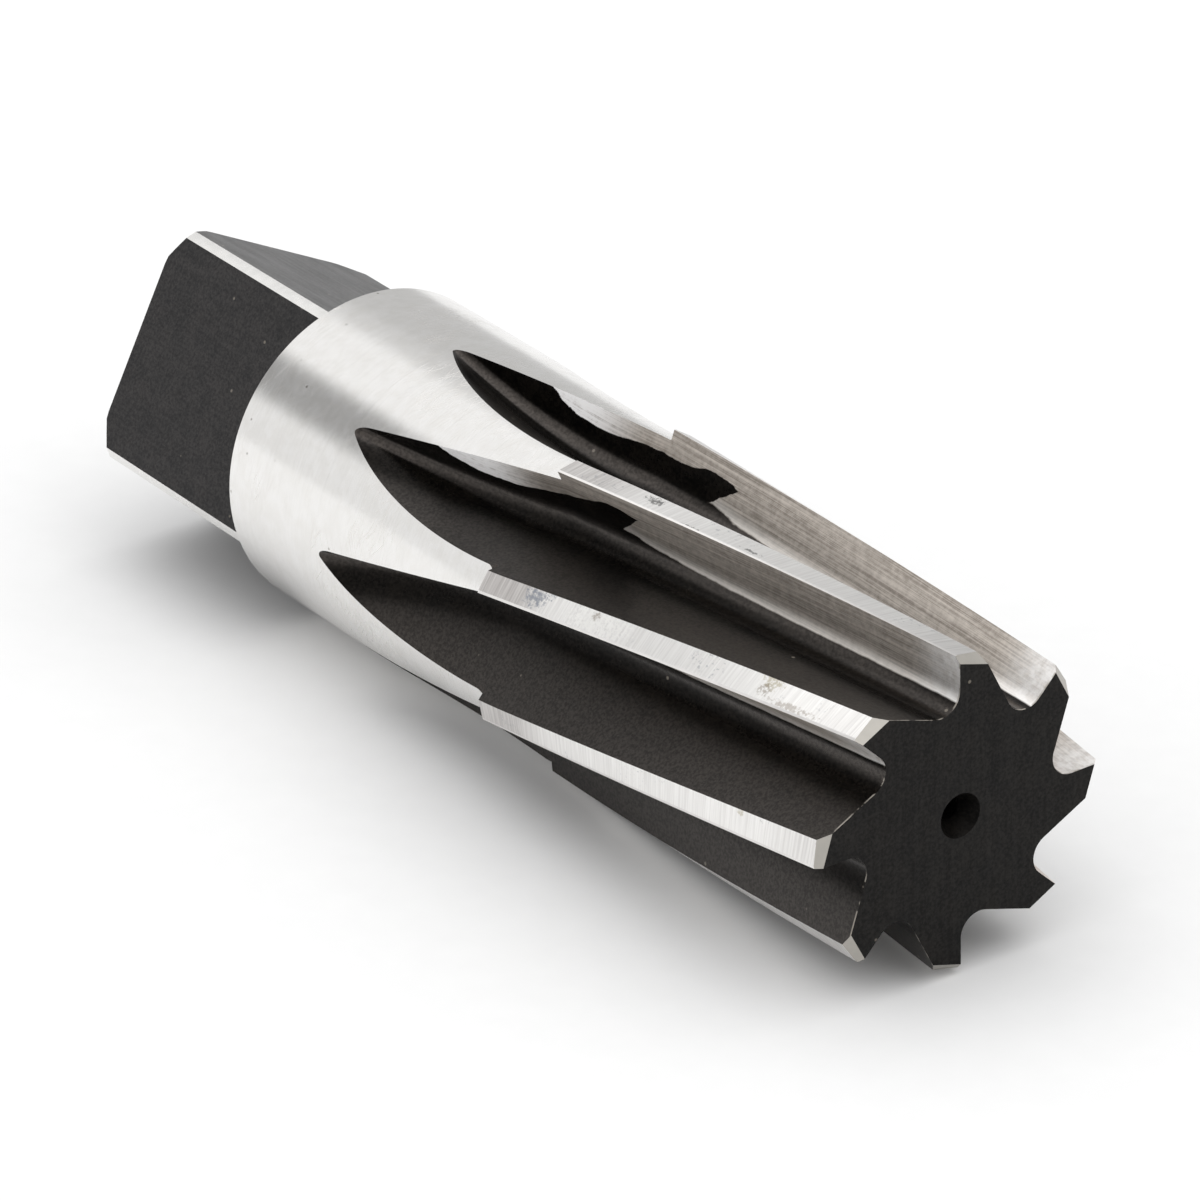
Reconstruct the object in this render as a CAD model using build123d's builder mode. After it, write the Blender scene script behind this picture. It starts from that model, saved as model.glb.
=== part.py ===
"""A solid steel hand reamer for taper pipe holes: a square tang, a ground shank and eight
spiral fluted teeth that narrow towards the nose by one part in sixteen."""

from build123d import *
from math import cos, radians, sin, sqrt, tan
import os

# Overall sizes in millimetres, angles in degrees
overall_length = 82.55
cutting_length = 35.95
tang_length = 17.45
shank_diameter = 23.02
nose_diameter = 22.25
taper_ratio = 1 / 16

# Square tang, with its end turned to a cone
tang_across_flats = 16.85
tang_end_chamfer = 1.2
tang_turn = 61.9

# Teeth with radial cutting faces, in flutes that wind to the left
tooth_count = 8
flute_lead = 560.6
flute_core_nose = 6.76
flute_core_rear = 7.01
flute_back_angle = 18.8
gullet_radius = 1.5

# Lands: a narrow margin of full size behind each cutting edge, then relief
margin_width = 0.18
land_relief = 13.0

# Bevel that leads each tooth into the hole, deeper towards the heel
nose_chamfer = 0.4
nose_chamfer_relief = 18.0

# Run-out of the flutes on the shank: the milling cutter's arc, lowest a little ahead of the
# step, its sideways lean, and the radius to which the gullet narrows
cutter_radius = 53.8
run_out_lead = 1.88
run_out_length = 20.0
run_out_lean = 0.0936
run_out_gullet_radius = 0.4

# Centre holes for grinding the tool between points
nose_centre_radius = 1.55
tang_centre_radius = 2.2
centre_pilot_radius = 0.8
centre_pilot_depth = 4.2
centre_angle = 60.0
drill_point_angle = 118.0

# Rest on a table, on two teeth and the shank
lying_roll = 1.75
lying_tilt = 0.08

# Waste solids pass the ends of the metal by the overcut, and its sides by the clearance
overcut = 1.0
waste_clearance = 4.0

# Steps along each waste solid, and flats around each gullet
head_steps = 3
run_out_steps = 4
gullet_flats = 6

# Sizes that follow from these
shank_radius = shank_diameter / 2
nose_radius = nose_diameter / 2
step_radius = nose_radius + cutting_length * taper_ratio / 2
waste_radius = step_radius + waste_clearance
run_out_station = cutting_length - run_out_lead
tooth_pitch = radians(360 / tooth_count)


def station_plane(station):
    """Cross-section at a distance behind the nose, turned with the spiral."""
    return Plane.XY.offset(-station).rotated((0, 0, 360 * station / flute_lead))


def edge_radius(station):
    """Radius of the cutting edges at a distance behind the nose."""
    return nose_radius + station * taper_ratio / 2


# Solid of revolution, standing on its tang with the nose at the origin
with BuildPart() as blank:
    with BuildSketch(Plane.XZ):
        with BuildLine():
            Polyline(
                (0, 0),
                (nose_radius, 0),
                (step_radius, -cutting_length),
                (shank_radius, -cutting_length),
                (shank_radius, -overall_length + tang_end_chamfer),
                (shank_radius - tang_end_chamfer, -overall_length),
                (0, -overall_length),
                close=True,
            )
        make_face()
    revolve(axis=Axis.Z)

# Waste outside the square of the tang
with BuildPart() as tang_waste:
    with BuildSketch(Plane.XY.offset(-overall_length - overcut)):
        Circle(shank_radius + overcut)
        Rectangle(tang_across_flats, tang_across_flats, rotation=tang_turn, mode=Mode.SUBTRACT)
    extrude(amount=tang_length + overcut)

# Centre holes: a cone that takes the point and a pilot hole that clears its tip
with BuildPart() as centre_waste:
    cone_slope = tan(radians(centre_angle / 2))
    point_depth = centre_pilot_radius / tan(radians(drill_point_angle / 2))
    for mouth_radius, end, inward in (
        (nose_centre_radius, 0, -1),
        (tang_centre_radius, -overall_length, 1),
    ):
        cone_depth = (mouth_radius - centre_pilot_radius) / cone_slope
        with BuildSketch(Plane.XZ):
            with BuildLine():
                Polyline(
                    (0, end - inward * overcut),
                    (mouth_radius + overcut * cone_slope, end - inward * overcut),
                    (centre_pilot_radius, end + inward * cone_depth),
                    (centre_pilot_radius, end + inward * centre_pilot_depth),
                    (0, end + inward * (centre_pilot_depth + point_depth)),
                    close=True,
                )
            make_face()
        revolve(axis=Axis.Z)

# Waste of one flute: a radial cutting face, a round gullet in narrow flats and the slanted
# back of the tooth before it. It runs straight along the head, then leaves the shank along
# the cutter's arc while it leans away and its gullet narrows
with BuildPart() as flute_waste:
    gullet_sweep = 90 + flute_back_angle
    for first, last, steps in (
        (-overcut, cutting_length, head_steps),
        (cutting_length, cutting_length + run_out_length, run_out_steps),
    ):
        for step in range(steps + 1):
            station = first + (last - first) * step / steps
            reach = max(0, station - run_out_station)
            lift = cutter_radius - sqrt(cutter_radius**2 - reach**2)
            passed = max(0, station - cutting_length)
            drift = run_out_lean * passed
            narrowing = (gullet_radius - run_out_gullet_radius) * passed / run_out_length
            bend = gullet_radius - narrowing
            core = flute_core_nose + (flute_core_rear - flute_core_nose) * station / cutting_length
            root = Vector(core + lift, drift)
            face_top = Vector(waste_radius, drift)
            back_run = waste_radius * sin(tooth_pitch)
            back_top = root + Vector(back_run * tan(radians(flute_back_angle)), back_run)
            face_foot = root + Vector(bend * tan(radians(gullet_sweep / 2)), 0)
            with BuildSketch(station_plane(station)):
                with BuildLine():
                    gullet = JernArc(face_foot, (-1, 0), bend, -gullet_sweep, mode=Mode.PRIVATE)
                    flats = [gullet @ (flat / gullet_flats) for flat in range(gullet_flats + 1)]
                    Polyline(face_top, *flats, back_top, close=True)
                make_face()
        loft()

# Waste above one land: it starts at the margin and falls away towards the heel
with BuildPart() as relief_waste:
    for step in range(head_steps + 1):
        station = -overcut + (cutting_length + 2 * overcut) * step / head_steps
        radius = edge_radius(station)
        margin_back = Vector(sqrt(radius**2 - margin_width**2), -margin_width)
        land_run = Vector(-sin(radians(land_relief)), -cos(radians(land_relief)))
        heel_side = margin_back + land_run * (radius * sin(tooth_pitch / 2))
        with BuildSketch(station_plane(station)):
            with BuildLine():
                Polyline(
                    margin_back,
                    heel_side,
                    (waste_radius, heel_side.Y),
                    (waste_radius, margin_back.Y),
                    close=True,
                )
            make_face()
    loft()

# Waste in front of one tooth, for its bevelled and relieved nose
with BuildPart() as bevel_waste:
    with BuildSketch(Plane.XZ):
        with BuildLine():
            Polyline(
                (nose_radius - nose_chamfer - overcut, overcut),
                (nose_radius + overcut, -nose_chamfer - overcut),
                (nose_radius + overcut, overcut),
                close=True,
            )
        make_face()
    bevel_lean = radians(nose_chamfer_relief)
    extrude(
        amount=nose_radius * sin(tooth_pitch / 2),
        dir=(-sin(bevel_lean), -cos(bevel_lean), 0),
    )
    extrude(faces().sort_by(Axis.Y)[-1], amount=overcut)

# The reamer, still standing on its tang
with BuildPart() as standing:
    add(blank.part)
    add(tang_waste.part, mode=Mode.SUBTRACT)
    add(centre_waste.part, mode=Mode.SUBTRACT)
    with PolarLocations(0, tooth_count):
        add(flute_waste.part, mode=Mode.SUBTRACT)
    with PolarLocations(0, tooth_count):
        add(relief_waste.part, mode=Mode.SUBTRACT)
    with PolarLocations(0, tooth_count):
        add(bevel_waste.part, mode=Mode.SUBTRACT)

# Laid on the table, nose towards +X
tilt = radians(lying_tilt)
roll = radians(lying_roll)
lying = Plane(
    origin=(0, 0, 0),
    x_dir=(cos(roll) * sin(tilt), -sin(roll), cos(roll) * cos(tilt)),
    z_dir=(cos(tilt), 0, -sin(tilt)),
)
laid = standing.part.moved(lying.location)

# The corner that touches the table is the lowest vertex
with BuildPart() as reamer:
    with Locations((overall_length / 2, 0, -laid.vertices().sort_by(Axis.Z)[0].Z)):
        add(laid)

os.makedirs("parts", exist_ok=True)
reamer.part.label = "reamer"
export_step(reamer.part, "parts/reamer.step")
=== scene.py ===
"""Looks of the taper pipe reamer: one finely meshed skin with rounded gullets, ground bright
steel and black oxide, on a pale floor in soft studio light."""

from math import cos, pi, radians, sin, sqrt, tan

import bmesh
import bpy
import numpy as np
from mathutils import Matrix, Vector
from mathutils.geometry import tessellate_polygon


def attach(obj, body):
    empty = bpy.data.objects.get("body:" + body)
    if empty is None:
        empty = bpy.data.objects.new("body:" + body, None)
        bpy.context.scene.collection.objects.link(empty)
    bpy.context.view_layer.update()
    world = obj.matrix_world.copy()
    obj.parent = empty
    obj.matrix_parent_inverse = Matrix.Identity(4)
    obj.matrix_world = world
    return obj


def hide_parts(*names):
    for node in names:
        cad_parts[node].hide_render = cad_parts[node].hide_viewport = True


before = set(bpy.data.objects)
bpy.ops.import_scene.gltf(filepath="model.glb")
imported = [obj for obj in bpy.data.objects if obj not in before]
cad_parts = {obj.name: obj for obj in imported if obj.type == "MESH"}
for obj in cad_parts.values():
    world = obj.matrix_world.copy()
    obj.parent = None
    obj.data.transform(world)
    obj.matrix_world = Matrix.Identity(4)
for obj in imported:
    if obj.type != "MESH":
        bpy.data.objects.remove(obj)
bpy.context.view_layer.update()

mm = 0.001

# Sizes of the tool in millimetres, and its angles and slopes, as the solid has them
overall_length = 82.55
cutting_length = 35.95
tang_length = 17.45
shank_radius = 11.51
nose_radius = 11.125
taper_per_side = 1 / 32
half_flats = 8.425
tang_end_chamfer = 1.2
tang_turn = radians(61.9)
tooth_count = 8
flute_lead = 560.6
flute_core_nose = 6.76
flute_core_rear = 7.01
flute_back_angle = radians(18.8)
gullet_radius = 1.5
margin_width = 0.18
land_relief = radians(13.0)
nose_chamfer = 0.4
nose_chamfer_slope = tan(radians(18.0))
cutter_radius = 53.8
run_out_lead = 1.88
run_out_length = 20.0
run_out_lean = 0.0936
run_out_gullet_radius = 0.4
nose_centre_radius = 1.55
tang_centre_radius = 2.2
centre_pilot_radius = 0.8
centre_pilot_depth = 4.2
centre_slope = tan(radians(30.0))
drill_point_slope = tan(radians(59.0))

# Rounded heel corners of the shank's strips at the step: length along the tool, and width
heel_rounding_long = 0.8
heel_rounding_wide = 0.9

# Where the tool lies, with its middle over the origin: its nose, its roll and its tilt
nose_height = 11.4475
nose_place = (overall_length / 2, 0.0, nose_height)
lying_roll = radians(1.75)
lying_tilt = radians(0.08)

# Numbers of steps across the skin: each end of a flute's section, the path between these ends,
# a land, a corner of the tang, and round a centre hole
end_steps = 2
path_steps = 44
land_steps = 15
corner_columns = 4
hole_columns = 64

# Numbers of steps along the skin, and the least gap after the rows of the rounded corners
head_rows = 60
rounding_rows = 7
run_out_rows = 90
shank_rows = 14
tang_rows = 16
hole_rows = 6
row_gap = 0.05

# Rounds of the two searches, for the flutes' tips and for the bevel's start
tip_rounds = 60
bevel_rounds = 8

# Welding of the patches, and the angle from which an edge is sharp
weld_distance = 0.002 * mm
sliver_length = 0.001 * mm
crease_angle = radians(14)

# Columns of one sector of the head, from a cutting corner to the next: the path's end, the heel
# and the back of the margin. A strip of the shank lies between two paths
path_end = end_steps + path_steps
heel_column = path_end + end_steps
margin_column = heel_column + land_steps
columns = np.arange(margin_column + 2)
strip_columns = 2 * end_steps + land_steps + 1

pitch = 2 * pi / tooth_count
gullet_sweep = pi / 2 + flute_back_angle
reach_of_bend = tan(gullet_sweep / 2)
back_way = np.array([sin(flute_back_angle), cos(flute_back_angle)])
shoulder_station = overall_length - tang_length


def paired(first, second):
    """Two arrays side by side, such as stations and distances across."""
    return np.stack(np.broadcast_arrays(first, second), axis=-1)


def turned(points, angle):
    """Points of a cross-section, turned about the tool's axis."""
    x, y = points[..., 0], points[..., 1]
    c, s = np.cos(angle), np.sin(angle)
    return np.stack([x * c - y * s, x * s + y * c], axis=-1)


def twist(station, tooth):
    """Angle of a tooth at a distance behind the nose."""
    return 2 * pi * station / flute_lead + tooth * pitch


def in_tool(section, station, tooth):
    """Points of a section in the tool's own frame, with the spiral and the tooth's place."""
    xy = turned(section, twist(station, tooth))
    return np.concatenate([xy, -np.broadcast_to(station, xy.shape[:-1])[..., None]], axis=-1)


def round_points(radius, angle, station):
    """Points round the tool's axis."""
    radius, angle, station = np.broadcast_arrays(radius, angle, station)
    return np.stack([radius * np.cos(angle), radius * np.sin(angle), -station], axis=-1)


def edge_radius(station):
    """Radius of the cutting edges at a distance behind the nose."""
    return nose_radius + station * taper_per_side


def flute_root(station):
    """Where the lines of face and back would meet, lifted and shifted in the run-out."""
    reach = np.maximum(0.0, station - cutting_length + run_out_lead)
    lift = cutter_radius - np.sqrt(cutter_radius**2 - reach**2)
    core = flute_core_nose + (flute_core_rear - flute_core_nose) * station / cutting_length
    lean = run_out_lean * np.maximum(0.0, station - cutting_length)
    return np.stack([core + lift, lean], axis=-1)


def gullet_bend(station):
    """Radius of the gullet, which narrows in the run-out."""
    share = np.maximum(0.0, station - cutting_length) / run_out_length
    return gullet_radius + (run_out_gullet_radius - gullet_radius) * share


def on_flute(station, travel):
    """Points of the flute's section: travel is zero where the face runs into the gullet,
    less on the face and more round the gullet and up the back of the tooth before."""
    travel = np.asarray(travel, dtype=float)
    root = np.broadcast_to(flute_root(station), travel.shape + (2,))
    bend = np.broadcast_to(gullet_bend(station), travel.shape)
    face_foot = root + np.stack([bend * reach_of_bend, 0 * bend], axis=-1)
    face = face_foot - np.stack([travel, 0 * travel], axis=-1)
    angle = -pi / 2 - np.clip(travel / bend, 0, gullet_sweep)
    round_it = np.stack([np.cos(angle), 1 + np.sin(angle)], axis=-1)
    arc = face_foot + bend[..., None] * round_it
    back = arc + back_way * np.maximum(0.0, travel - bend * gullet_sweep)[..., None]
    return np.where((travel < 0)[..., None], face, back)


def shank_crossings(station):
    """Travel at the two edges of the flute on the round shank, or nothing past its tip."""
    root = flute_root(np.array(station))
    bend = float(gullet_bend(station))
    reach = bend * reach_of_bend
    face_reach = sqrt(shank_radius**2 - root[1] ** 2) - root[0] - reach
    centre = root + np.array([reach, bend])
    far = float(np.hypot(*centre))
    bearing = float(np.arctan2(centre[1], centre[0]))
    inside = (shank_radius**2 - far**2 - bend**2) / (2 * bend * far)
    if inside <= -1:
        return None
    spread = np.arccos(min(1.0, inside))
    first = -face_reach
    if face_reach < 0:
        first = bend * (spread - pi / 2 - bearing)
    start = root + back_way * reach
    along = float(start @ back_way)
    out = -along + sqrt(along**2 + shank_radius**2 - float(start @ start))
    last = bend * gullet_sweep + out
    if float(np.hypot(*start)) > shank_radius:
        last = bend * (3 * pi / 2 - bearing - spread)
    return first, last


def flute_tip():
    """Station at which a flute ends on the shank, found by halving."""
    low, high = cutting_length, cutting_length + run_out_length
    for _ in range(tip_rounds):
        middle = (low + high) / 2
        if shank_crossings(middle) is None:
            high = middle
        else:
            low = middle
    return low


tip_station = flute_tip()


def land_line(station):
    """Back of the margin and the way the relieved land runs, in the next tooth's place."""
    radius = edge_radius(station)
    behind = np.stack([np.sqrt(radius**2 - margin_width**2), -margin_width + 0 * radius], axis=-1)
    way = np.array([-sin(land_relief), -cos(land_relief)])
    return turned(behind, pitch), turned(way, pitch)


def heel_travel(station):
    """Travel at which the back of the flute meets the next tooth's land, and the land's length
    from there to the margin."""
    behind, way = land_line(station)
    gullet_length = gullet_bend(station) * gullet_sweep
    start = on_flute(station, gullet_length)
    gap = start - behind
    cross = way[0] * back_way[1] - way[1] * back_way[0]
    out = (way[1] * gap[..., 0] - way[0] * gap[..., 1]) / cross
    run = (back_way[1] * gap[..., 0] - back_way[0] * gap[..., 1]) / cross
    return gullet_length + out, run


def bevel_depth(section, tooth):
    """How far a tooth's bevel reaches back at points of a section."""
    own = turned(section, -tooth * pitch)
    return own[..., 0] - own[..., 1] * nose_chamfer_slope - (nose_radius - nose_chamfer)


def bevel_drop():
    """Drop from the heel to the bevel's lower edge on the straight back, at the nose."""
    nose = np.array(0.0)
    heel = heel_travel(nose)[0]
    at_heel = float(bevel_depth(on_flute(nose, heel), 1))
    one_below = float(bevel_depth(on_flute(nose, heel - 1), 1))
    return at_heel / (at_heel - one_below)


# Drops from the cutting corner and the heel to the shank at the step, and to the bevel's edge
step_first, step_last = shank_crossings(cutting_length)
face_drop = edge_radius(cutting_length) - shank_radius
back_drop_step = float(heel_travel(np.array(cutting_length))[0]) - step_last
back_drop_nose = bevel_drop()


def sector_at(station, column):
    """Head's section from one cutting corner to the next, at one station for each column, and
    the travel from the first corner."""
    radius = edge_radius(station)
    root = flute_root(station)
    corner = -(radius - root[..., 0] - gullet_bend(station) * reach_of_bend)
    heel, land_run = heel_travel(station)
    share = station / cutting_length
    face_split = corner + nose_chamfer + (face_drop - nose_chamfer) * share
    back_split = heel - back_drop_nose - (back_drop_step - back_drop_nose) * share
    travel = np.where(
        column <= end_steps,
        corner + (face_split - corner) * column / end_steps,
        np.where(
            column <= path_end,
            face_split + (back_split - face_split) * (column - end_steps) / path_steps,
            back_split + (heel - back_split) * (column - path_end) / end_steps,
        ),
    )
    travel = np.minimum(travel, heel)
    behind, way = land_line(station)
    land = behind + way * (land_run * (1 - (column - heel_column) / land_steps))[..., None]
    next_corner = turned(np.stack([radius, 0 * radius], axis=-1), pitch)
    place = on_flute(station, travel)
    place = np.where((column > heel_column)[..., None], land, place)
    place = np.where((column > margin_column)[..., None], next_corner, place)
    return place, travel - corner


def head_start():
    """Station at which each column of the head starts: on the end face, or behind the bevel."""
    start = np.zeros(len(columns))
    bevelled = (columns <= end_steps) | (columns >= path_end)
    for _ in range(bevel_rounds):
        flat = in_tool(sector_at(start, columns)[0], start, 0)[..., :2]
        depth = np.where(columns <= end_steps, bevel_depth(flat, 0), bevel_depth(flat, 1))
        start = np.where(bevelled, np.maximum(0.0, depth), 0.0)
        start[[end_steps, path_end]] = 0.0
    return start


# One sector of the head: rows from the bevelled nose to the step
first_station = head_start()
rows = np.linspace(0, 1, head_rows + 1)[:, None]
head_station = first_station + (cutting_length - first_station) * rows
head_section, head_fall = sector_at(head_station, np.broadcast_to(columns, head_station.shape))

# Stations of the run-out: round the strips' heel corners, then closer together towards the tip
rounding = np.linspace(0, pi / 2, rounding_rows + 1)
corner_station = cutting_length + heel_rounding_long * (1 - np.cos(rounding))
ease = 1 - (1 - np.linspace(0, 1, run_out_rows + 1)) ** 2
run_station = cutting_length + (tip_station - cutting_length) * ease
run_station = run_station[run_station > corner_station[-1] + row_gap]
run_station = np.concatenate([corner_station, run_station])

# One sector of the run-out: the flute's section, and angles across the strip of shank
run_section = np.zeros((len(run_station), path_steps + 1, 2))
run_fall = np.zeros((len(run_station), path_steps + 1))
strip_angle = np.zeros((len(run_station), strip_columns + 1))
for row, station in enumerate(run_station):
    travel = np.linspace(*shank_crossings(station), path_steps + 1)
    run_section[row] = on_flute(np.array(station), travel)
    run_fall[row] = travel - step_first + face_drop
    ends = np.arctan2(run_section[row][[0, -1], 1], run_section[row][[0, -1], 0])
    strip_angle[row] = np.linspace(ends[1], ends[0] + pitch, strip_columns + 1)
run_section[-1] = run_section[-1][path_steps // 2]

# The strips' heel corners at the step are rounded off
to_step = run_station - cutting_length
rounded = np.flatnonzero(to_step < heel_rounding_long)
inset = heel_rounding_wide * (1 - np.sqrt(1 - (1 - to_step[rounded] / heel_rounding_long) ** 2))
for row, distance in zip(rounded, inset):
    begin = strip_angle[row, 0] + distance / shank_radius
    strip_angle[row] = np.linspace(begin, strip_angle[row, -1], strip_columns + 1)
    run_section[row, -1] = shank_radius * np.array([cos(begin), sin(begin)])

# Kinds of surface, in the order in which their materials are made
OXIDE, SHANK, LAND, MARGIN, FLUTE, STEP, BEVEL, TANG, CORNER, HOLE = range(10)


class Skin:
    """Vertices, faces and their surface coordinates, gathered patch by patch."""

    def __init__(self):
        self.points, self.faces, self.places = [], [], []
        self.kinds, self.teeth = [], []

    def add(self, points, faces, places, kind, tooth=0):
        """One patch: points and places in millimetres, and the kind of surface."""
        first = sum(len(patch) for patch in self.points)
        self.points.append(np.asarray(points, dtype=float).reshape(-1, 3))
        places = np.asarray(places, dtype=float).reshape(-1, 2)
        for face in faces:
            self.faces.append([first + int(corner) for corner in face])
            self.places.extend(places[list(face)])
            self.kinds.append(kind)
            self.teeth.append(tooth)

    def grid(self, points, places, kind, tooth=0):
        """A patch of rows and columns."""
        index = np.arange(points[..., 0].size).reshape(points.shape[:2])
        corners = [index[:-1, :-1], index[:-1, 1:], index[1:, 1:], index[1:, :-1]]
        self.add(points, np.stack(corners, axis=-1).reshape(-1, 4), places, kind, tooth)


def add_head(tooth):
    """A flute, the next tooth's land and its margin, from nose to step. Gives their points."""
    points = in_tool(head_section, head_station, tooth)
    flute = slice(0, heel_column + 1)
    places = paired(head_station, head_fall)
    skin.grid(points[:, flute], places[:, flute], FLUTE, tooth)
    land = slice(heel_column, margin_column + 1)
    behind_edge = np.linalg.norm(points[:, land] - points[:, -1:], axis=-1)
    places = paired(head_station[:, land], behind_edge)
    skin.grid(points[:, land], places, LAND, (tooth + 1) % tooth_count)
    margin = slice(margin_column, margin_column + 2)
    skin.grid(points[:, margin], paired(head_station[:, margin], [margin_width, 0.0]), MARGIN)
    return points


def add_run_out(tooth):
    """A flute's run-out, and the strip of shank behind it. Gives the strip's points."""
    station = run_station[:, None]
    flute_station = np.broadcast_to(station, run_fall.shape)
    points = in_tool(run_section, flute_station, tooth)
    skin.grid(points, paired(station, run_fall), FLUTE, tooth)
    around = strip_angle + twist(station, tooth)
    points = round_points(shank_radius, around, station)
    skin.grid(points, paired(station, around * shank_radius), SHANK)
    return points


def tooth_end(row, points, tooth):
    """Outline of the metal between two flutes, in the head's first or last row."""
    face = slice(1, end_steps + 1)
    ahead = in_tool(head_section[row, face], head_station[row, face], tooth + 1)
    return np.concatenate([points[row, path_end:], ahead])


def add_step(tooth, head_points, strip_points):
    """Step from a land's end down to the shank, and what the rounded heel corner uncovers."""
    rim = tooth_end(-1, head_points, tooth)
    ring = np.stack([strip_points[0], rim])
    skin.grid(ring, ring[..., :2], STEP)
    uncovered = in_tool(run_section[0, -2:], cutting_length, tooth)
    uncovered = np.concatenate([uncovered, rim[:1]])
    skin.add(uncovered, [(0, 1, 2)], uncovered[:, :2], STEP)


def add_bevel(tooth, head_points):
    """Bevel at a tooth's nose."""
    front = tooth_end(0, head_points, tooth)
    skin.add(front, [range(len(front))], front[:, :2], BEVEL)


skin = Skin()
for tooth in range(tooth_count):
    head_points = add_head(tooth)
    strip_points = add_run_out(tooth)
    add_step(tooth, head_points, strip_points)
    add_bevel(tooth, head_points)


def within_half_turn(angle):
    """The same direction, between minus and plus half a turn."""
    return (angle + pi) % (2 * pi) - pi


# Columns round the shank, at the flutes' tips in the teeth's places and at the tang so that they
# meet its corners
side_columns = tooth_count * strip_columns // 4
tip_ring = np.concatenate(
    [strip_angle[-1, :-1] + twist(tip_station, tooth) for tooth in range(tooth_count)]
)
corner_half = pi / 4 - np.arccos(half_flats / shank_radius)
on_strip = np.linspace(-corner_half, corner_half, corner_columns + 1)[:-1]
flat_columns = side_columns - corner_columns
on_flat = np.linspace(corner_half, pi / 2 - corner_half, flat_columns + 1)[:-1]
side = tang_turn + pi / 4 + np.concatenate([on_strip, on_flat])
tang_ring = np.concatenate([side + quarter * pi / 2 for quarter in range(4)])
shift = int(np.argmin(np.abs(within_half_turn(tang_ring - tip_ring[0]))))
tang_ring = np.roll(tang_ring, -shift)
tang_ring = tip_ring + within_half_turn(tang_ring - tip_ring)
on_corner = np.roll(np.tile(np.arange(side_columns), 4), -shift) < corner_columns
tip_ring = np.append(tip_ring, tip_ring[0] + 2 * pi)
tang_ring = np.append(tang_ring, tang_ring[0] + 2 * pi)

# Shank behind the flutes
share = np.linspace(0, 1, shank_rows + 1)[:, None]
shank_station = tip_station + (shoulder_station - tip_station) * share
shank_angle = tip_ring + (tang_ring - tip_ring) * share * share * (3 - 2 * share)
shank_points = round_points(shank_radius, shank_angle, shank_station)
skin.grid(shank_points, paired(shank_station, shank_angle * shank_radius), SHANK)

# Tang: its square with the strips of shank at the corners, and the cone at its end
off_flat = (tang_ring - tang_turn + pi / 4) % (pi / 2) - pi / 4
tang_radius = np.minimum(half_flats / np.cos(off_flat), shank_radius)
cone_station = overall_length - tang_end_chamfer + (shank_radius - tang_radius)
cone_station = np.minimum(cone_station, overall_length)
share = np.linspace(0, 1, tang_rows + 1)[:, None]
tang_station = shoulder_station + (cone_station - shoulder_station) * share
tang_points = round_points(tang_radius, tang_ring, tang_station)
end_radius = np.minimum(tang_radius, shank_radius - tang_end_chamfer)
end_points = round_points(end_radius, tang_ring, overall_length)
cone_points = np.stack([tang_points[-1], end_points])


def add_tang_side(first, last):
    """A flat or corner strip of the tang, its part of the cone, and a flat's shoulder."""
    run = slice(first, last + 1)
    around = tang_ring[run] * shank_radius
    kind = CORNER if on_corner[first] else TANG
    skin.grid(tang_points[:, run], paired(tang_station[:, run], around), kind)
    cone = cone_points[:, run]
    skin.grid(cone, paired(-cone[..., 2], around), TANG)
    if kind == TANG:
        radius = np.stack([tang_radius[run], np.full_like(tang_radius[run], shank_radius)])
        shoulder = round_points(radius, tang_ring[run], shoulder_station)
        skin.grid(shoulder, shoulder[..., :2], OXIDE)


side_starts = [0, *(np.flatnonzero(np.diff(on_corner)) + 1), len(on_corner)]
for first, last in zip(side_starts, side_starts[1:]):
    add_tang_side(first, last)


def centre_hole(end, inward, mouth_radius):
    """Rings of a centre hole: cone, pilot and drill point. Gives the mouth's points."""
    angle = np.linspace(0, 2 * pi, hole_columns + 1)
    cone_depth = (mouth_radius - centre_pilot_radius) / centre_slope
    outline = [
        (mouth_radius, 0.0),
        (centre_pilot_radius, cone_depth),
        (centre_pilot_radius, centre_pilot_depth),
        (0.0, centre_pilot_depth + centre_pilot_radius / drill_point_slope),
    ]
    for (radius_a, deep_a), (radius_b, deep_b) in zip(outline, outline[1:]):
        share = np.linspace(0, 1, hole_rows + 1)[:, None]
        radius = radius_a + (radius_b - radius_a) * share
        station = end + inward * (deep_a + (deep_b - deep_a) * share)
        points = round_points(radius, angle, station)
        skin.grid(points, paired(station, angle * mouth_radius), HOLE)
    return round_points(mouth_radius, angle[:-1], end)


def end_face(outline, hole):
    """Flat end between its outline and the mouth of its centre hole."""
    loops = [[Vector(point) for point in loop] for loop in (outline, hole)]
    points = np.concatenate([outline, hole])
    skin.add(points, tessellate_polygon(loops), points[:, :2], OXIDE)


nose_hole = centre_hole(0.0, 1, nose_centre_radius)
nose_path = slice(end_steps, path_end + 1)
nose_outline = np.concatenate(
    [in_tool(head_section[0], head_station[0], tooth)[nose_path] for tooth in range(tooth_count)]
)
end_face(nose_outline, nose_hole)
tang_hole = centre_hole(overall_length, -1, tang_centre_radius)
end_face(end_points[:-1], tang_hole)

# The tool's own frame laid on the floor, nose towards +X
along = Vector((cos(lying_tilt), 0, -sin(lying_tilt)))
across = Vector(
    (cos(lying_roll) * sin(lying_tilt), -sin(lying_roll), cos(lying_roll) * cos(lying_tilt))
)
lying = Matrix((across, along.cross(across), along)).transposed()
points = np.concatenate(skin.points) @ np.array(lying).T + np.array(nose_place)

# How much narrower each tooth's bright strip is in the run-out, as a share of strip_narrowing
narrow_strips = np.array([0.0, 0.4, 0.7, 0.2, 0.9, 0.3, 0.6, 1.0], dtype=np.float32)

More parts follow.
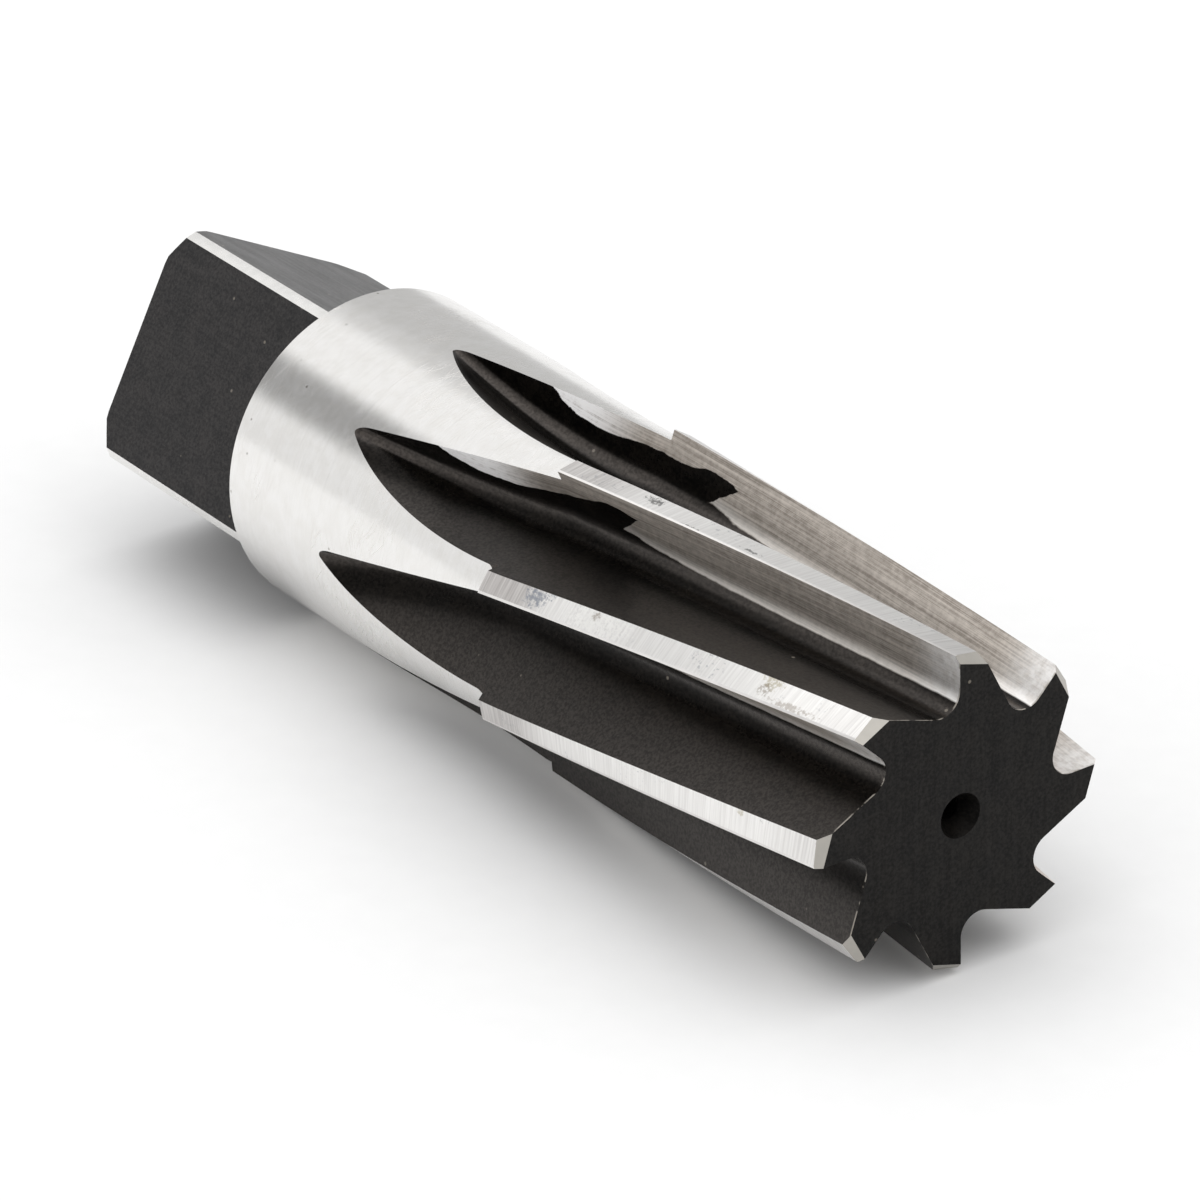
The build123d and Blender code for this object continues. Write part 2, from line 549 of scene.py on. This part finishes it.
mesh = bpy.data.meshes.new("reamer_skin")
mesh.from_pydata((points * mm).tolist(), [], skin.faces)
surface = mesh.uv_layers.new(name="surface")
surface.data.foreach_set("uv", np.array(skin.places, dtype=np.float32).ravel())
mesh.polygons.foreach_set("material_index", skin.kinds)
tooth_of = mesh.attributes.new("tooth", "FLOAT", "FACE")
tooth_of.data.foreach_set("value", np.array(skin.teeth, dtype=np.float32))
narrow = mesh.attributes.new("narrow_strip", "FLOAT", "FACE")
narrow.data.foreach_set("value", narrow_strips[np.array(skin.teeth)])

# The patches are welded, and the edges between different surfaces stay sharp
weld = bmesh.new()
weld.from_mesh(mesh)
bmesh.ops.remove_doubles(weld, verts=weld.verts, dist=weld_distance)
bmesh.ops.dissolve_degenerate(weld, edges=weld.edges, dist=sliver_length)
bmesh.ops.recalc_face_normals(weld, faces=weld.faces)
for face in weld.faces:
    face.smooth = True
for edge in weld.edges:
    kinds = {face.material_index for face in edge.link_faces}
    creased = len(edge.link_faces) != 2 or edge.calc_face_angle(0) > crease_angle
    edge.smooth = not creased and len(kinds) == 1
weld.to_mesh(mesh)
weld.free()
reamer = bpy.data.objects.new("reamer_skin", mesh)
bpy.context.scene.collection.objects.link(reamer)
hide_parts("reamer")
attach(reamer, "root")

# Camera from the photograph's angle: its place in metres, its right and its view direction
camera_place = (0.38289, -0.27460, 0.24724)
camera_right = Vector((0.58546, 0.81070, 0.00067))
camera_look = Vector((-0.72368, 0.52299, -0.45030))
camera = bpy.data.cameras.new("camera")
camera.lens = 239.32
camera.sensor_width = 36.0
camera.clip_start = 0.01
camera.clip_end = 20.0
viewer = bpy.data.objects.new("camera", camera)
facing = Matrix((camera_right, -camera_look.cross(camera_right), -camera_look))
viewer.matrix_world = Matrix.Translation(camera_place) @ facing.transposed().to_4x4()
bpy.context.scene.collection.objects.link(viewer)
bpy.context.scene.camera = viewer


class Nodes:
    """Short calls that add nodes to one tree; a value may be a number, colour or socket."""

    def __init__(self, tree):
        self.tree = tree

    def put(self, kind, values, output=0, **settings):
        """One node with its inputs and settings. Gives one of its outputs."""
        node = self.tree.nodes.new(kind)
        for name, value in settings.items():
            setattr(node, name, value)
        for name, value in values.items():
            if isinstance(value, bpy.types.NodeSocket):
                self.tree.links.new(value, node.inputs[name])
            else:
                node.inputs[name].default_value = value
        return node.outputs[output]

    def math(self, operation, first, second):
        """Two numbers joined by an operation."""
        return self.put("ShaderNodeMath", {0: first, 1: second}, operation=operation)

    def plus(self, first, second):
        """Sum of two numbers."""
        return self.math("ADD", first, second)

    def minus(self, first, second):
        """Difference of two numbers."""
        return self.math("SUBTRACT", first, second)

    def times(self, first, second):
        """Product of two numbers."""
        return self.math("MULTIPLY", first, second)

    def over(self, first, second):
        """Quotient of two numbers."""
        return self.math("DIVIDE", first, second)

    def span(self, value, low, high, first=0.0, last=1.0):
        """Smooth change from first to last while the value goes from low to high."""
        values = {"Value": value, "From Min": low, "From Max": high}
        values.update({"To Min": first, "To Max": last})
        return self.put("ShaderNodeMapRange", values, interpolation_type="SMOOTHSTEP")

    def noise(self, place, scale, detail=2.0, roughness=0.5):
        """Soft noise from 0 to 1."""
        values = {"Vector": place, "Scale": scale, "Detail": detail, "Roughness": roughness}
        return self.put("ShaderNodeTexNoise", values)

    def blend(self, share, first, last):
        """Colour between two colours."""
        return self.put("ShaderNodeMix", {0: share, 6: first, 7: last}, 2, data_type="RGBA")

    def between(self, share, first, last):
        """Number between two numbers."""
        return self.put("ShaderNodeMix", {0: share, 2: first, 3: last}, 0, data_type="FLOAT")

    def curve(self, value, points, width, height):
        """Smooth curve through a few points, in the units of its width and height."""
        out = self.put("ShaderNodeFloatCurve", {"Value": self.over(value, width)})
        line = out.node.mapping.curves[0].points
        for number, (x, y) in enumerate(points):
            if number < 2:
                line[number].location = (x / width, y / height)
            else:
                line.new(x / width, y / height)
        out.node.mapping.update()
        return self.times(out, height)


class Finish(Nodes):
    """One surface of the tool, with its coordinates in millimetres: the place in space, the
    station behind the nose, the distance across and the number of the tooth."""

    def __init__(self, name, **values):
        self.material = bpy.data.materials.new(name)
        self.material.use_nodes = True
        super().__init__(self.material.node_tree)
        self.shader = self.tree.nodes["Principled BSDF"]
        for socket, value in values.items():
            self.shader.inputs[socket.replace("_", " ")].default_value = value
        place = {0: self.put("ShaderNodeTexCoord", {}, "Object"), "Scale": 1 / mm}
        self.place = self.put("ShaderNodeVectorMath", place, operation="SCALE")
        surface = self.put("ShaderNodeUVMap", {}, uv_map="surface")
        self.station = self.put("ShaderNodeSeparateXYZ", {0: surface}, 0)
        self.across = self.put("ShaderNodeSeparateXYZ", {0: surface}, 1)
        self.tooth = self.of_face("tooth")
        tangent = self.put("ShaderNodeTangent", {}, direction_type="UV_MAP", uv_map="surface")
        self.set(Tangent=tangent)
        mesh.materials.append(self.material)

    def set(self, **sockets):
        """Links to the shader's sockets."""
        for socket, value in sockets.items():
            self.tree.links.new(value, self.shader.inputs[socket.replace("_", " ")])

    def of_face(self, name):
        """A number that each face carries."""
        return self.put("ShaderNodeAttribute", {}, "Fac", attribute_name=name)

    def on_tooth(self, number):
        """One on the tooth of that number, and zero elsewhere."""
        values = {0: self.tooth, 1: float(number), 2: 0.1}
        return self.put("ShaderNodeMath", values, operation="COMPARE")

    def bump(self, height, depth):
        """Relief from a height of 0 to 1 and its depth in millimetres."""
        values = {"Height": height, "Strength": 1.0, "Distance": depth * mm}
        self.set(Normal=self.put("ShaderNodeBump", values))

    def cloud(self, per_mm, detail=2.0, roughness=0.5):
        """Noise over the surface, with so many blobs to the millimetre."""
        return self.noise(self.place, per_mm, detail, roughness)

    def scattered(self, per_mm):
        """Distance to the nearest of many scattered points."""
        values = {"Vector": self.place, "Scale": per_mm}
        return self.put("ShaderNodeTexVoronoi", values, "Distance")

    def lines(self, turn, per_mm, length, seed, detail=3.0):
        """Noise drawn out into long thin streaks, turned from the tool's axis by degrees."""
        c, s = cos(radians(turn)), sin(radians(turn))
        along = self.plus(self.times(self.station, c), self.times(self.across, s))
        aside = self.minus(self.times(self.across, c), self.times(self.station, s))
        values = {
            0: self.over(along, length),
            1: self.times(aside, per_mm),
            2: self.plus(self.tooth, seed),
        }
        return self.noise(self.put("ShaderNodeCombineXYZ", values), 1.0, detail, 0.6)

    def scratches(self, turn, per_mm, length, seed):
        """Thin single scratches, where drawn out noise is at its highest."""
        return self.span(self.lines(turn, per_mm, length, seed, 0.0), 0.66, 0.74)

    def spot(self, tooth, station, across, long, wide):
        """How far a place lies inside one ragged oval spot on one tooth."""
        x = self.over(self.minus(self.station, station), long)
        y = self.over(self.minus(self.across, across), wide)
        far = self.plus(self.times(x, x), self.times(y, y))
        ragged = self.minus(self.cloud(4.0, 4.0, 0.7), 0.5)
        inside = self.span(self.plus(far, self.times(ragged, 8.0)), 1.3, -0.2)
        return self.times(inside, self.on_tooth(tooth))


def oxide_colour(finish, dark, light):
    """Black oxide: nearly black, mottled with brown, with light specks of dust. Gives its
    colour and its grain."""
    dust_colour = (0.14, 0.125, 0.105, 1)
    grain = finish.cloud(4.5, 3.0, 0.7)
    tone = finish.between(0.55, finish.cloud(0.6, 5.0, 0.65), grain)
    colour = finish.blend(finish.span(tone, 0.36, 0.66), dark, light)
    speck = finish.span(finish.scattered(0.37), 0.06, 0.03)
    return finish.blend(speck, colour, dust_colour), grain


def oxide(name, dark, light, specular, roughness):
    """Blackened steel of the end faces, the tang's flats and the centre holes."""
    finish = Finish(name, Specular_Tint=(1.0, 0.96, 0.93, 1))
    colour, grain = oxide_colour(finish, dark, light)
    patch = finish.lines(turn=3.0, per_mm=0.8, length=6.0, seed=2.0)
    streaks = finish.lines(turn=0.0, per_mm=3.0, length=9.0, seed=5.0)
    sheen = finish.between(0.35, grain, streaks)
    finish.set(
        Base_Color=colour,
        Specular_IOR_Level=finish.span(sheen, 0.35, 0.65, 0.72 * specular, 1.28 * specular),
        Roughness=finish.between(patch, roughness - 0.06, roughness + 0.10),
    )
    finish.bump(grain, 0.004)


# Crossing scratches on the shank: turn in degrees, scratches to a millimetre, length in
# millimetres, and seed
shank_scratches = [
    (72, 9.0, 3.5, 3.0),
    (-68, 10.0, 3.0, 7.0),
    (48, 9.0, 2.5, 11.0),
    (84, 12.0, 5.0, 15.0),
]


def shank_marks(finish):
    """Faint crossing scratches, more of them in some places."""
    marks = finish.scratches(*shank_scratches[0])
    for scratch in shank_scratches[1:]:
        marks = finish.math("MAXIMUM", marks, finish.scratches(*scratch))
    return finish.times(marks, finish.span(finish.cloud(0.16), 0.42, 0.62, 0.25, 1.0))


def shank_steel(name):
    """Bright ground steel in two soft tones, with faint rings and scratches and tiny pits."""
    warm, cool = (0.825, 0.812, 0.79, 1), (0.86, 0.85, 0.835, 1)
    pit_brown, mark_brown = (0.22, 0.20, 0.17, 1), (0.55, 0.50, 0.44, 1)
    ring_grey = (0.6, 0.59, 0.57, 1)
    finish = Finish(name, Metallic=1.0, Anisotropic=0.5)
    cloud = finish.cloud(0.9, 4.0, 0.6)
    rings = finish.lines(turn=89, per_mm=6.0, length=9.0, seed=0.0)
    colour = finish.blend(finish.span(cloud, 0.35, 0.65), warm, cool)
    colour = finish.blend(finish.span(rings, 0.4, 0.7, 0.0, 0.10), colour, ring_grey)
    some = finish.span(finish.cloud(0.25, 1.0), 0.45, 0.55)
    pits = finish.times(finish.span(finish.scattered(0.6), 0.09, 0.04), some)
    colour = finish.blend(finish.times(pits, 0.7), colour, pit_brown)
    marks = shank_marks(finish)
    colour = finish.blend(finish.times(marks, 0.16), colour, mark_brown)
    finish.set(
        Base_Color=colour,
        Roughness=finish.plus(finish.between(cloud, 0.16, 0.18), finish.times(marks, 0.12)),
    )
    finish.bump(finish.plus(finish.times(rings, 0.15), marks), 0.0008)


# Stains on the lands, and one painted highlight (the near white spot on tooth 1 at station 24.6):
# tooth, station, distance behind the edge, half length and half width in mm, strength and colour
grey_blue, straw, brown = (0.14, 0.17, 0.23, 1), (0.42, 0.37, 0.24, 1), (0.25, 0.20, 0.15, 1)
# The near white colour on this line is a painted highlight, laid on one spot of tooth 1's land
soot, painted_highlight = (0.05, 0.05, 0.05, 1), (0.97, 0.96, 0.93, 1)
land_stains = [
    (1, 24.6, 1.0, 2.6, 1.1, 0.8, painted_highlight),
    (0, 28.2, 1.1, 0.8, 0.35, 0.75, soot),
    (0, 18.8, 0.5, 0.9, 0.12, 0.7, soot),
    (0, 24.0, 0.2, 0.8, 0.10, 0.7, soot),
    (1, 30.8, 1.1, 1.0, 0.7, 0.65, grey_blue),
    (1, 29.6, 1.7, 0.5, 0.4, 0.6, grey_blue),
    (1, 25.2, 1.3, 0.35, 0.3, 0.6, brown),
    (1, 9.0, 1.6, 0.9, 0.6, 0.6, straw),
    (1, 9.3, 0.9, 0.5, 0.4, 0.6, brown),
    (1, 6.5, 0.4, 2.2, 0.25, 0.5, brown),
    (2, 8.0, 1.7, 0.3, 0.3, 0.5, straw),
]


def stained(finish, colour):
    """A land's colour with scattered faint dots and with the stains of its tooth, one of them a
    painted highlight.
    """
    dot_colour = (0.16, 0.18, 0.22, 1)
    zone = finish.span(finish.cloud(0.35, 1.0), 0.58, 0.68)
    dots = finish.times(finish.span(finish.cloud(3.5, 3.0, 0.6), 0.56, 0.66), zone)
    colour = finish.blend(finish.times(dots, 0.35), colour, dot_colour)
    for tooth, station, across, long, wide, strength, tint in land_stains:
        inside = finish.spot(tooth, station, across, long, wide)
        colour = finish.blend(finish.times(inside, strength), colour, tint)
    return colour


def land_steel(name):
    """Relieved lands, ground across, greyer near the step and the nose, with stains and one
    painted highlight.
    """
    line_dark, line_light = (0.80, 0.785, 0.765, 1), (0.93, 0.92, 0.90, 1)
    dull_dark, dull_light = (0.33, 0.305, 0.295, 1), (0.52, 0.495, 0.48, 1)
    broad_grey = (0.62, 0.61, 0.60, 1)
    finish = Finish(name, Metallic=1.0, Anisotropic=0.7)
    lines = finish.lines(turn=90, per_mm=5.0, length=6.0, seed=0.0)
    broad = finish.lines(turn=87, per_mm=1.2, length=8.0, seed=5.0)
    colour = finish.blend(finish.span(lines, 0.3, 0.7), line_dark, line_light)
    colour = finish.blend(finish.span(broad, 0.5, 0.75, 0.0, 0.35), colour, broad_grey)
    dull = finish.blend(finish.span(lines, 0.35, 0.65), dull_dark, dull_light)
    near_step = finish.span(finish.station, 28.0, 33.0, 0.0, 0.62)
    near_nose = finish.span(finish.station, 6.5, 2.0, 0.0, 0.22)
    greyest_end = finish.span(finish.station, 30.0, 33.0, 0.0, 0.5)
    greyest_end = finish.times(greyest_end, finish.on_tooth(1))
    for share in (near_step, near_nose, greyest_end):
        colour = finish.blend(share, colour, dull)
    finish.set(Base_Color=stained(finish, colour), Roughness=finish.between(broad, 0.26, 0.38))
    finish.bump(lines, 0.003)


def edge_steel(name, colour, roughness):
    """Narrow bright facets: margins, bevels, the step and the tang's corners."""
    finish = Finish(name, Metallic=1.0)
    grain = finish.cloud(1.2)
    dull = tuple(0.94 * part for part in colour[:3]) + (1,)
    finish.set(
        Base_Color=finish.blend(finish.span(grain, 0.3, 0.7), dull, colour),
        Roughness=finish.between(grain, roughness - 0.04, roughness + 0.06),
    )


# Ground bright strip in the run-out and ground bright face: depth from the cutting edge at
# stations in mm, and the height to which both curves are drawn
strip_depths = [
    (0.0, 1.45), (29.3, 1.45), (31.0, 1.13), (33.4, 1.58), (36.0, 2.15), (38.7, 2.45), (41.0, 2.8),
    (43.0, 2.84), (44.5, 2.67), (45.9, 2.27), (47.0, 1.56), (49.0, 0.0), (82.5, 0.0),
]
ground_depths = [(0.0, 3.05), (12.8, 3.42), (20.3, 3.56), (27.1, 3.45), (31.7, 2.97), (82.5, 0.0)]
depth_height = 5.0

# Stations between which the strip of some teeth narrows, and by how much at most
strip_narrows = (33.0, 38.0)
strip_narrowing = 0.65

# Slanted end of the ground face: a station and depth on it, and stations per mm of depth
face_end_station, face_end_depth = 29.2, 1.5
face_end_slope = 1.25

# Gloss of the black gullet and back at distances from the cutting edge in mm, and their reach: a
# painted highlight streak along the gullet and a painted dark reflection band beside it
painted_gullet_streaks = [
    (0.0, 0.1), (3.2, 0.12), (3.75, 0.52), (4.2, 0.36), (4.7, 0.08), (5.8, 0.06), (6.6, 0.2),
    (7.5, 0.34), (9.0, 0.44), (12.0, 0.5),
]
painted_gullet_streaks_width = 12.0


def ground_area(finish):
    """Where a flute is ground bright: its face, and the strip in the run-out. Gives both
    together, the face alone, and how far a place lies above the face's lower edge."""
    ragged = finish.minus(finish.cloud(0.8, 3.0, 0.6), 0.5)
    ragged_width = finish.span(finish.station, 24.0, 31.0, 0.18, 0.35)
    across = finish.plus(finish.across, finish.times(ragged, ragged_width))
    station = finish.plus(finish.station, finish.times(ragged, 1.2))
    narrowing = finish.span(station, *strip_narrows, 0.0, strip_narrowing)
    narrowing = finish.times(finish.of_face("narrow_strip"), narrowing)
    depth = finish.curve(station, strip_depths, overall_length, depth_height)
    on_strip = finish.span(finish.minus(finish.minus(depth, narrowing), across), -0.04, 0.04)
    depth = finish.curve(station, ground_depths, overall_length, depth_height)
    inside = finish.minus(depth, across)
    slant = finish.times(finish.minus(across, face_end_depth), face_end_slope)
    reach = finish.minus(finish.plus(slant, face_end_station), station)
    on_face = finish.times(finish.span(inside, -0.1, 0.06), finish.span(reach, -0.05, 0.05))
    return finish.math("MAXIMUM", on_strip, on_face), on_face, inside


def ground_steel(finish, on_face, inside):
    """Colour of the ground areas, with fine lines along them: a painted highlight along the face's
    lower edge, lighter at the nose, painted glare in the run-out. Gives the tone of the lines too."""
    line_dark, line_light = (0.25, 0.22, 0.19, 1), (0.63, 0.575, 0.52, 1)
    painted_rim_highlight, nose_light = (0.85, 0.83, 0.80, 1), (0.88, 0.87, 0.86, 1)
    run_out_dark, painted_run_out_glare = (0.56, 0.53, 0.51, 1), (0.99, 0.98, 0.98, 1)
    streaks = finish.lines(turn=0.5, per_mm=6.0, length=22.0, seed=0.0)
    fine = finish.lines(turn=-0.7, per_mm=17.0, length=9.0, seed=4.0)
    tone = finish.between(0.25, finish.between(0.5, streaks, fine), finish.cloud(2.2, 4.0, 0.65))
    steel = finish.blend(finish.span(tone, 0.36, 0.64), line_dark, line_light)
    # Painted highlight: a lighter band just inside the face's lower edge, where the curving gullet
    # catches light
    rim = finish.times(finish.span(inside, 0.95, 0.1), on_face)
    steel = finish.blend(finish.times(rim, 0.45), steel, painted_rim_highlight)
    near_nose = finish.span(finish.station, 5.0, 0.5)
    patchy = finish.span(finish.cloud(1.6, 4.0, 0.65), 0.28, 0.7, 0.4, 0.9)
    steel = finish.blend(finish.times(near_nose, patchy), steel, nose_light)
    # Painted glare: in the run-out the strip's lines run up to near white, lighter than its own
    # ground steel, standing in for the glare on it
    run_out = finish.blend(finish.span(tone, 0.38, 0.50), run_out_dark, painted_run_out_glare)
    return finish.blend(finish.span(finish.station, 37.5, 43.5), steel, run_out), tone


def flute_steel(name):
    """Flutes: black oxide from the hardening, ground bright along the cutting faces."""
    oxide_dark, oxide_light = (0.001, 0.001, 0.001, 1), (0.006, 0.005, 0.004, 1)
    worn_edge = (0.36, 0.33, 0.29, 1)
    finish = Finish(name, Anisotropic_Rotation=0.25, Specular_Tint=(1.0, 0.88, 0.80, 1))
    black, grain = oxide_colour(finish, oxide_dark, oxide_light)
    patch = finish.lines(turn=1.0, per_mm=2.0, length=12.0, seed=9.0)
    # Specular level banded across the flute: a painted highlight streak and a painted dark
    # reflection band in the gullet
    painted_streak_gloss = finish.curve(finish.across, painted_gullet_streaks, painted_gullet_streaks_width, 1.0)
    painted_streak_gloss = finish.times(painted_streak_gloss, finish.span(grain, 0.35, 0.65, 0.72, 1.28))
    dull_back = finish.span(finish.across, 4.8, 7.2, 0.0, 0.14)
    rough = finish.plus(finish.between(patch, 0.19, 0.28), dull_back)

    bright, on_face, inside = ground_area(finish)
    steel, tone = ground_steel(finish, on_face, inside)
    # Scarcely metallic in the run-out, so that the near white there shows as painted glare
    metal = finish.span(finish.station, 37.0, 42.5, 0.8, 0.1)
    at_end = finish.span(finish.station, 0.16, 0.05)
    worn = finish.times(at_end, finish.span(finish.cloud(1.4, 3.0), 0.42, 0.55))
    colour = finish.blend(bright, black, steel)
    finish.set(
        Base_Color=finish.blend(finish.times(worn, 0.8), colour, worn_edge),
        Metallic=finish.times(bright, metal),
        Roughness=finish.between(bright, rough, 0.42),
        Specular_IOR_Level=finish.between(bright, painted_streak_gloss, 0.5),
        Anisotropic=finish.times(bright, 0.6),
    )
    finish.bump(finish.between(bright, finish.between(0.5, grain, patch), tone), 0.003)


# The ten finishes, in the order of the kinds of surface
oxide("oxide", (0.004, 0.004, 0.004, 1), (0.010, 0.009, 0.008, 1), 0.12, 0.42)
shank_steel("shank")
land_steel("land")
edge_steel("margin", (0.82, 0.80, 0.78, 1), 0.3)
flute_steel("flute")
edge_steel("step", (0.70, 0.69, 0.68, 1), 0.35)
edge_steel("bevel", (0.44, 0.42, 0.385, 1), 0.35)
oxide("tang", (0.009, 0.009, 0.010, 1), (0.022, 0.020, 0.020, 1), 0.23, 0.33)
edge_steel("corner", (0.86, 0.85, 0.83, 1), 0.25)
# Centre holes: darker and with a lower specular level than the end faces, as painted shade in the
# recess
oxide("hole", (0.002, 0.002, 0.002, 1), (0.008, 0.007, 0.006, 1), 0.05, 0.35)

# Floor: a plain sheet of pale paper, and its half width in metres
floor_half = 3
corners = [(x * floor_half, y * floor_half, 0) for x, y in ((-1, -1), (1, -1), (1, 1), (-1, 1))]
floor_mesh = bpy.data.meshes.new("floor")
floor_mesh.from_pydata(corners, [], [(0, 1, 2, 3)])
floor = bpy.data.objects.new("floor", floor_mesh)
bpy.context.scene.collection.objects.link(floor)
paper = bpy.data.materials.new("paper")
paper.use_nodes = True
nodes = Nodes(paper.node_tree)
sheet = paper.node_tree.nodes["Principled BSDF"]
sheet.inputs["Roughness"].default_value = 0.9
sheet.inputs["Specular IOR Level"].default_value = 0.1
fibre = nodes.noise(nodes.put("ShaderNodeTexCoord", {}, "Object"), 400.0, 3.0)
paper_colour = nodes.blend(fibre, (0.80, 0.80, 0.80, 1), (0.83, 0.83, 0.83, 1))
paper.node_tree.links.new(paper_colour, sheet.inputs["Base Color"])
floor_mesh.materials.append(paper)

# Studio light: a pale surround with soft cards. Each card has an azimuth and elevation, the
# angles from its middle at which it starts to show and shows in full, and its brightness
surround = 0.88
studio_cards = [
    (0, 90, 52, 38, 1.85),
    (135, 12, 48, 26, 0.60),
    (-36, 27, 30, 8, 0.55),
    (-171, 42, 20, 6, 1.0),
    (-108, 35, 34, 14, 1.35),
    (157, 37, 7, 2, 0.68),
    (-149, 29, 15, 5, 0.33),
]
world = bpy.data.worlds.new("studio")
world.use_nodes = True
sky = Nodes(world.node_tree)
way = sky.put("ShaderNodeTexCoord", {}, "Generated")
level = surround
for azimuth, elevation, outer, inner, brightness in studio_cards:
    sideways = cos(radians(elevation))
    east, north = sideways * cos(radians(azimuth)), sideways * sin(radians(azimuth))
    towards = {0: way, 1: (east, north, sin(radians(elevation)))}
    closeness = sky.put("ShaderNodeVectorMath", towards, "Value", operation="DOT_PRODUCT")
    share = sky.span(closeness, cos(radians(outer)), cos(radians(inner)))
    level = sky.between(share, level, brightness)
background = world.node_tree.nodes["Background"]
background.inputs["Color"].default_value = (1, 1, 1, 1)
world.node_tree.links.new(level, background.inputs["Strength"])
bpy.context.scene.world = world
bpy.context.scene.view_settings.view_transform = "Standard"
